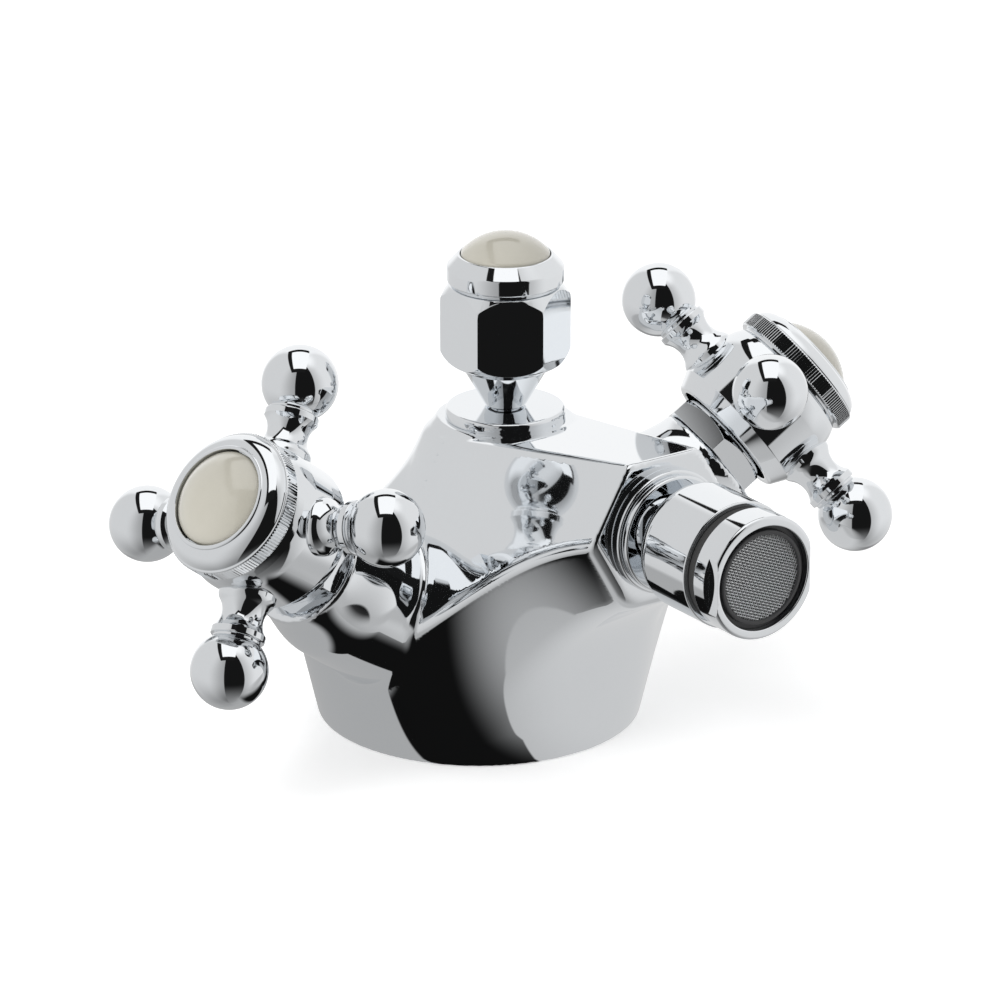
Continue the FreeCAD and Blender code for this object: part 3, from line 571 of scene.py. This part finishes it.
KNURL_TEETH = 150
KNURL_RADIUS = 14.15
KNURL_LOW, KNURL_HIGH = 9.1, 12.5


def handle(side):
    """A cross handle on its valve, and the nut below it."""
    body = f"{side}_handle"
    place = valve_axis(side) @ Matrix.Rotation(CROSS_ANGLE[side], 4, "Z")

    hub = Turning(13.2, -8.9, 0.5).to(14.9, -5.5, 2.0).to(14.9, 5.5, 2.0).to(13.4, 8.6, 0.5)
    hub.to(10.2, 8.6).to(10.2, 4.0).to(4.0, 4.0).to(4.0, -3.0).to(11.6, -3.0).to(11.6, -8.9, 0.3).close()
    add_piece(f"{side}_hub", hub.spun(), place, body, "chrome", f"{side}_handle_hub")

    for i in range(4):
        lever = Turning(0, 13.0).to(5.8, 13.0).to(5.6, 15.0, 0.3).to(5.3, 15.6)
        lever.arc(8.45, 18.6, -87.2).to(5.3, 22.4, 0.2).to(5.3, 22.9, 0.2).to(4.7, 23.05)
        lever.to(4.7, 23.46).arc(0, 29.3, 141.2, 28)
        turn = Matrix.Rotation(i * math.pi / 2, 4, "Z") @ Matrix.Rotation(math.pi / 2, 4, "Y")
        node = f"{side}_lever_{i + 1}"
        add_piece(f"{node}_turned", lever.spun(64), place @ turn, body, "chrome", node)

    ring = Turning(0, 13.0).to(9.75, 13.0).to(9.75, 15.7, 0.15).to(10.5, 15.7, 0.3).to(10.6, 15.35)
    ring.arc(9.96, 11.3, -60.0, 12).to(13.75, 12.6)
    ring.to(KNURL_RADIUS, KNURL_HIGH, 0.1).to(KNURL_RADIUS, KNURL_LOW, 0.1).to(13.0, 9.0)
    ring.to(13.0, 8.6).to(10.2, 8.6).to(10.2, 4.4).to(7.0, 4.4).to(7.0, 12.0).to(0, 12.0)
    mesh = ring.spun(KNURL_TEETH)
    mesh.normal_update()
    teeth = []
    for face in mesh.faces:
        upright = abs(face.normal.z) < 0.01 and face.calc_area() > 1
        if upright and KNURL_LOW < face.calc_center_median().z < KNURL_HIGH:
            teeth.append(face)
    bmesh.ops.inset_individual(mesh, faces=teeth, thickness=0.22, depth=0.24, use_even_offset=True)
    add_piece(f"{side}_knurled_ring", mesh, place, body, "chrome", f"{side}_index_ring")

    index = Turning(0, 13.0).to(9.6, 13.0, 0.2).to(9.6, 15.0, 0.5).arc(0, 6.62, 48.9, 20)
    add_piece(f"{side}_glazed_index", index.spun(), place, body, "ceramic_index", f"{side}_index_disc")

    nut = Turning(8.3, ARM_END).to(16.5, ARM_END).to(10.45, -9.6).to(10.0, -9.6).to(10.0, -5.0)
    nut.to(8.3, -5.0).close()
    mesh = six_flats(nut.spun(192), 21.0, math.pi / 6, 0.25)
    add_piece(f"{side}_hexagon_nut", mesh, valve_axis(side), "tap_body", "chrome", f"{side}_bonnet_nut")


def knob():
    """The pull knob with its cap and rod, and the plate that guides the rod."""
    rod_top = 80.0
    socket_floor = 86.9
    hexagon_top = 91.9
    dome_seat = 95.6

    guide = Turning(3.05, 54.0).to(6.5, 54.0).to(6.5, CROWN_HEIGHT).to(11.8, CROWN_HEIGHT, 0.2)
    guide.to(11.8, 66.7, 0.8).to(3.05, 66.7, 0.2).close()
    add_piece("guide_plate", guide.spun(), KNOB_AXIS, "tap_body", "chrome", "rod_guide")

    body = Turning(0, rod_top).to(3.0, rod_top).to(3.0, 67.0).to(4.0, 67.0, 0.3).to(8.6, 75.0, 0.4)
    body.to(10.0, 75.6, 0.2).to(10.6, 75.9).arc(8.25, 80.3, 62.0, 12).to(12.75, 89.4, 0.3)
    body.to(10.95, hexagon_top, 0.3).to(6.5, hexagon_top).to(6.5, socket_floor).to(0, socket_floor)
    mesh = six_flats(body.spun(192), 22.2, 0, 0.35)
    add_piece("hexagon_knob", mesh, KNOB_AXIS, "pull_knob", "chrome", "knob_body")

    cap = Turning(0, socket_floor).to(6.5, socket_floor).to(6.5, hexagon_top).to(10.2, hexagon_top)
    cap.to(10.2, 92.6).to(11.5, 92.6, 0.35).to(11.5, 95.6, 0.35).to(9.3, 98.0, 0.2).to(8.9, 98.0, 0.1)
    cap.to(8.9, dome_seat).to(0, dome_seat)
    add_piece("cap_bezel", cap.spun(), KNOB_AXIS, "pull_knob", "chrome", "knob_cap_ring")

    dome = Turning(0, dome_seat).to(8.75, dome_seat, 0.2).to(8.75, 98.2, 0.4).arc(0, 90.5, 48.7, 20)
    add_piece("glazed_cap", dome.spun(), KNOB_AXIS, "pull_knob", "ceramic_index", "knob_dome")

    rod = Turning(0, 16).to(1.65, 16).to(1.65, 4, 0.2).to(3.0, 4, 0.3).to(3.0, rod_top).to(0, rod_top)
    add_piece("turned_rod", rod.spun(48), KNOB_AXIS, "pull_knob", "chrome", "lift_rod")


def woven_screen():
    """Two layers of wires that pass over and under each other in turn."""
    pitch = 0.533
    wire = 0.125
    sway = 0.1
    middle = 30.35
    radius = 8.8
    slant = Matrix.Rotation(math.radians(-22.4), 4, "Z")
    curve = bpy.data.curves.new("screen_wires", "CURVE")
    curve.dimensions = "3D"
    curve.bevel_depth = wire
    curve.bevel_resolution = 0
    curve.resolution_u = 2
    count = int(radius / pitch)
    for along in range(2):
        for row in range(-count, count + 1):
            half = math.sqrt(radius ** 2 - (row * pitch) ** 2)
            crossings = int(half / pitch)
            spline = curve.splines.new("NURBS")
            spline.points.add(2 * crossings)
            for place, point in zip(range(-crossings, crossings + 1), spline.points):
                over = sway if (row + place + along) % 2 else -sway
                flat = (place * pitch, row * pitch) if along else (row * pitch, place * pitch)
                point.co = (*flat, middle + over, 1)
            spline.order_u = 3
            spline.use_endpoint_u = True
    obj = bpy.data.objects.new("screen_wires", curve)
    SCENE.collection.objects.link(obj)
    data = bpy.data.meshes.new_from_object(obj.evaluated_get(bpy.context.evaluated_depsgraph_get()))
    bpy.data.objects.remove(obj)
    mesh = bmesh.new()
    mesh.from_mesh(data)
    add_piece("woven_screen", mesh, JET_AXIS @ slant, "jet_nozzle", "steel", "aerator_screen")


def spanner_flats(mesh, half_across, low, high, rounding):
    """Cut two flats into the sides of a turned ring and round their edges."""
    tools = []
    for sign in (-1, 1):
        tool = bmesh.new()
        bmesh.ops.create_cube(tool, size=1)
        bmesh.ops.scale(tool, vec=(4, 40, high - low + 1), verts=tool.verts)
        middle = (sign * (half_across + 2), 0, (low + high + 1) / 2)
        bmesh.ops.translate(tool, vec=middle, verts=tool.verts)
        tools.append(tool)
    data = bpy.data.meshes.new("ring_blank")
    mesh.to_mesh(data)
    mesh.clear()
    mesh.from_mesh(carved(data, tools))
    mesh.normal_update()
    edges = set()
    for face in mesh.faces:
        if abs(face.normal.x) > 0.9999 and abs(abs(face.calc_center_median().x) - half_across) < 0.01:
            edges.update(edge for edge in face.edges if edge.calc_face_angle(0) > 0.3)
    round_edges(mesh, list(edges), rounding)
    return mesh


def jet():
    """The jet: its ball stud, housing, front ring, insert and screen, from the boss outwards."""
    stud = Turning(3.0, -10).to(6.5, -10).to(6.5, 0).to(12.3, 0, 0.2).to(12.3, 2.0, 0.5).to(11.2, 2.0)
    stud.to(11.6, 2.3).to(11.6, 3.6, 0.5).to(4.8, 3.6).to(4.8, 5.86)
    stud.arc(0, BALL_REACH, 100.2, 24).to(3.0, 19).close()
    add_piece("collar_stud", stud.spun(), JET_AXIS, "tap_body", "chrome", "jet_ball_stud")

    housing = Turning(7.2, 7.0, 0.3).to(10.7, 7.0, 0.6).to(12.5, 9.6, 1.2).to(12.5, 23.0, 0.35)
    housing.to(9.45, 23.0).to(9.45, 16.0).to(8.86, 16.0)
    housing.arc(0, BALL_REACH, -58.7, 14).close()
    add_piece("turned_housing", housing.spun(), JET_AXIS, "jet_nozzle", "chrome", "jet_housing")

    front = Turning(7.5, 19.5).to(9.45, 19.5).to(9.45, 25.2).to(12.1, 25.2, 0.4).to(12.1, JET_FRONT, 0.7)
    front.to(10.25, JET_FRONT, 0.25).to(10.25, 25.4).to(7.5, 25.4).close()
    mesh = spanner_flats(front.spun(), 10.8, 28.6, JET_FRONT, 0.12)
    add_piece("turned_front_ring", mesh, JET_AXIS, "jet_nozzle", "chrome", "jet_front_ring")

    # A dark ring in the groove between housing and front ring: painted shade that fills this deep gap.
    groove_shade = Turning(9.5, 23.05).to(11.5, 23.05, 0.2).to(11.5, 25.15, 0.2).to(9.5, 25.15).close()
    add_piece("groove_shade_ring", groove_shade.spun(), JET_AXIS, "jet_nozzle", "rubber")

    insert = Turning(0, 26.0).to(7.4, 26.0).to(7.4, 25.4).to(10.2, 25.4).to(10.2, 29.8)
    insert.to(9.4, 29.8).to(9.3, 30.8, 0.25).to(8.4, 30.8, 0.25).to(8.4, 30.1).to(7.5, 30.1)
    insert.to(7.5, 27.0).to(0, 27.0)
    add_piece("moulded_insert", insert.spun(), JET_AXIS, "jet_nozzle", "black_plastic", "aerator_insert")
    woven_screen()


body_casting()
for side in CROSS_ANGLE:
    handle(side)
knob()
jet()

for subpart in frame["record"]["subparts"]:
    node = frame["nodes"][subpart["node"]]
    node.data.materials.clear()
    node.data.materials.append(FINISH[subpart["material_slot"]])

# A pale floor under plain studio light, laid out to the camera's right and towards it.
TO_RIGHT = (math.cos(VIEW_AZIMUTH), math.sin(VIEW_AZIMUTH), 0)
TO_FRONT = (math.sin(VIEW_AZIMUTH), -math.cos(VIEW_AZIMUTH), 0)


def stage_disc(name, radius, height):
    """A disc of the stage, and the empty node tree of its finish."""
    mesh = bmesh.new()
    bmesh.ops.create_circle(mesh, cap_ends=True, segments=64, radius=radius)
    bmesh.ops.translate(mesh, vec=(0, 0, height), verts=mesh.verts)
    data = bpy.data.meshes.new(name)
    mesh.to_mesh(data)
    mesh.free()
    obj = bpy.data.objects.new(name, data)
    SCENE.collection.objects.link(obj)
    material = bpy.data.materials.new(name)
    material.use_nodes = True
    material.node_tree.nodes.clear()
    data.materials.append(material)
    return obj, Graph(material.node_tree)


def pale_floor():
    floor, graph = stage_disc("pale_floor", 4.0, 0)
    floor.visible_glossy = False
    where = graph.node("ShaderNodeTexCoord", None, (), "Object")
    colour = graph.blend(graph.noise(where, 3.0), (0.90, 0.90, 0.90), (0.94, 0.94, 0.94))
    inputs = {
        "Base Color": colour,
        "Roughness": 0.9,
        "Emission Color": colour,
        "Emission Strength": 0.45,
    }
    shader = graph.node("ShaderNodeBsdfPrincipled", None, inputs)
    graph.node("ShaderNodeOutputMaterial", None, {"Surface": shader})


def table_cards():
    """What the foot mirrors: pale cards to its left and right, and a dark wedge towards the camera with
    painted shade near the foot.
    """
    cards, graph = stage_disc("table_cards", 0.095, -0.0003)
    cards.visible_camera = False
    cards.visible_diffuse = False
    cards.visible_shadow = False
    where = graph.node("ShaderNodeTexCoord", None, (), "Object")
    right = graph.along(where, TO_RIGHT) / MILLIMETRE
    front = graph.along(where, TO_FRONT) / MILLIMETRE
    # Straight edges of the cards, in millimetres to the right of the foot's middle and in front of it.
    left_edge = (front + right * 0.255 - 28.5).step(-0.3, 0.3) * (right + 33).step(-3, 3)
    card_side = (34.2 - front * 0.6).math("MINIMUM", 12)
    right_card = (right - card_side).step(-0.3, 0.3) * (70 - front - right * 0.87).step(-9, 9)
    wedge = left_edge * (1 - right_card)
    # Painted shade: the wedge stays dark close to the foot and lightens away from it, standing for the
    # tap's shade on the table.
    wedge_shaded_light = (right + front * 1.06 - 40).step(2, 30) * 0.52
    pale = 0.45 + right.step(-10, 30) * 0.22
    dark = 0.006
    light = wedge * (wedge_shaded_light + dark) + (1 - wedge) * pale
    glow = graph.node("ShaderNodeEmission", None, {"Color": light})
    clear = graph.node("ShaderNodeBsdfTransparent")
    reach = graph.node("ShaderNodeVectorMath", {"operation": "LENGTH"}, {0: where}, "Value") / MILLIMETRE
    shader = graph.node("ShaderNodeMixShader", None, [reach.step(70, 95), glow, clear])
    graph.node("ShaderNodeOutputMaterial", None, {"Surface": shader})


def studio():
    """Panels left and right with a gap between, a white backdrop, and a softbox in a dark ceiling."""
    world = bpy.data.worlds.new("studio")
    SCENE.world = world
    world.use_nodes = True
    world.node_tree.nodes.clear()
    graph = Graph(world.node_tree)
    ray = graph.node("ShaderNodeTexCoord", None, (), "Generated")
    right = graph.along(ray, TO_RIGHT)
    front = graph.along(ray, TO_FRONT)
    up = graph.along(ray, (0, 0, 1))
    bearing = right.math("ARCTAN2", front) * math.degrees(1)
    rise = up.math("ARCSINE") * math.degrees(1)
    sideways = right / up.math("MAXIMUM", 0.3)
    ahead = front / up.math("MAXIMUM", 0.3)

    left_panel = 0.74 - bearing.step(-65, -10) * 0.32
    right_panel = 0.56 + bearing.step(40, 88) * 0.31 + rise.step(45, 70) * 0.25
    on_right = bearing.step(0, 30)
    panels = left_panel * (1 - on_right) + right_panel * on_right
    panels = panels * (0.36 + rise.step(-88, -10) * 0.64)
    backdrop = 0.22 + rise.step(-52, -8) * 0.83
    behind = 1 - bearing.between(-151, 150, 8)
    walls = panels * (1 - behind) + backdrop * behind
    gap = bearing.between(-13, 47, 1.2)
    gap_light = 0.009 + (1 - rise.step(-76, -20)) * 0.23
    walls = walls * (1 - gap) + gap_light * gap

    overhead = up.step(0.3, 0.35)
    ceiling = overhead * sideways.between(-0.51, 0.36, 0.012) * ahead.between(-1.12, 0.78, 0.02)
    softbox = overhead * sideways.between(-0.32, 0.36, 0.012) * ahead.between(-0.75, 0.5, 0.015)
    ceiling_light = 0.012
    softbox_light = 1.15
    light = walls * (1 - ceiling) + ceiling_light * ceiling * (1 - softbox) + softbox_light * softbox
    sky = graph.node("ShaderNodeBackground", None, {"Color": light, "Strength": 1.0})
    graph.node("ShaderNodeOutputWorld", None, {"Surface": sky})


pale_floor()
table_cards()
studio()

key_data = bpy.data.lights.new("key_light", "AREA")
key_data.energy = 9.0
key_data.size = 0.7
key = bpy.data.objects.new("key_light", key_data)
key.location = (-0.9, -0.35, 1.0)
key.rotation_mode = "QUATERNION"
key.rotation_quaternion = Vector((0.9, 0.35, -0.95)).to_track_quat("-Z", "Y")
key.visible_glossy = False
SCENE.collection.objects.link(key)

back = Vector((
    math.sin(VIEW_AZIMUTH) * math.cos(VIEW_ELEVATION),
    -math.cos(VIEW_AZIMUTH) * math.cos(VIEW_ELEVATION),
    math.sin(VIEW_ELEVATION),
))
across = Vector(TO_RIGHT)
aim = VIEW_RIGHT * across + VIEW_UP * back.cross(across)
camera_data = bpy.data.cameras.new("camera")
camera_data.lens = VIEW_LENS
camera_data.sensor_width = 36.0
camera_data.clip_start = 0.05
camera = bpy.data.objects.new("camera", camera_data)
camera.location = (aim + VIEW_DISTANCE * back) * MILLIMETRE
camera.rotation_mode = "QUATERNION"
camera.rotation_quaternion = (-back).to_track_quat("-Z", "Y")
SCENE.collection.objects.link(camera)
SCENE.camera = camera
SCENE.view_settings.view_transform = "Standard"
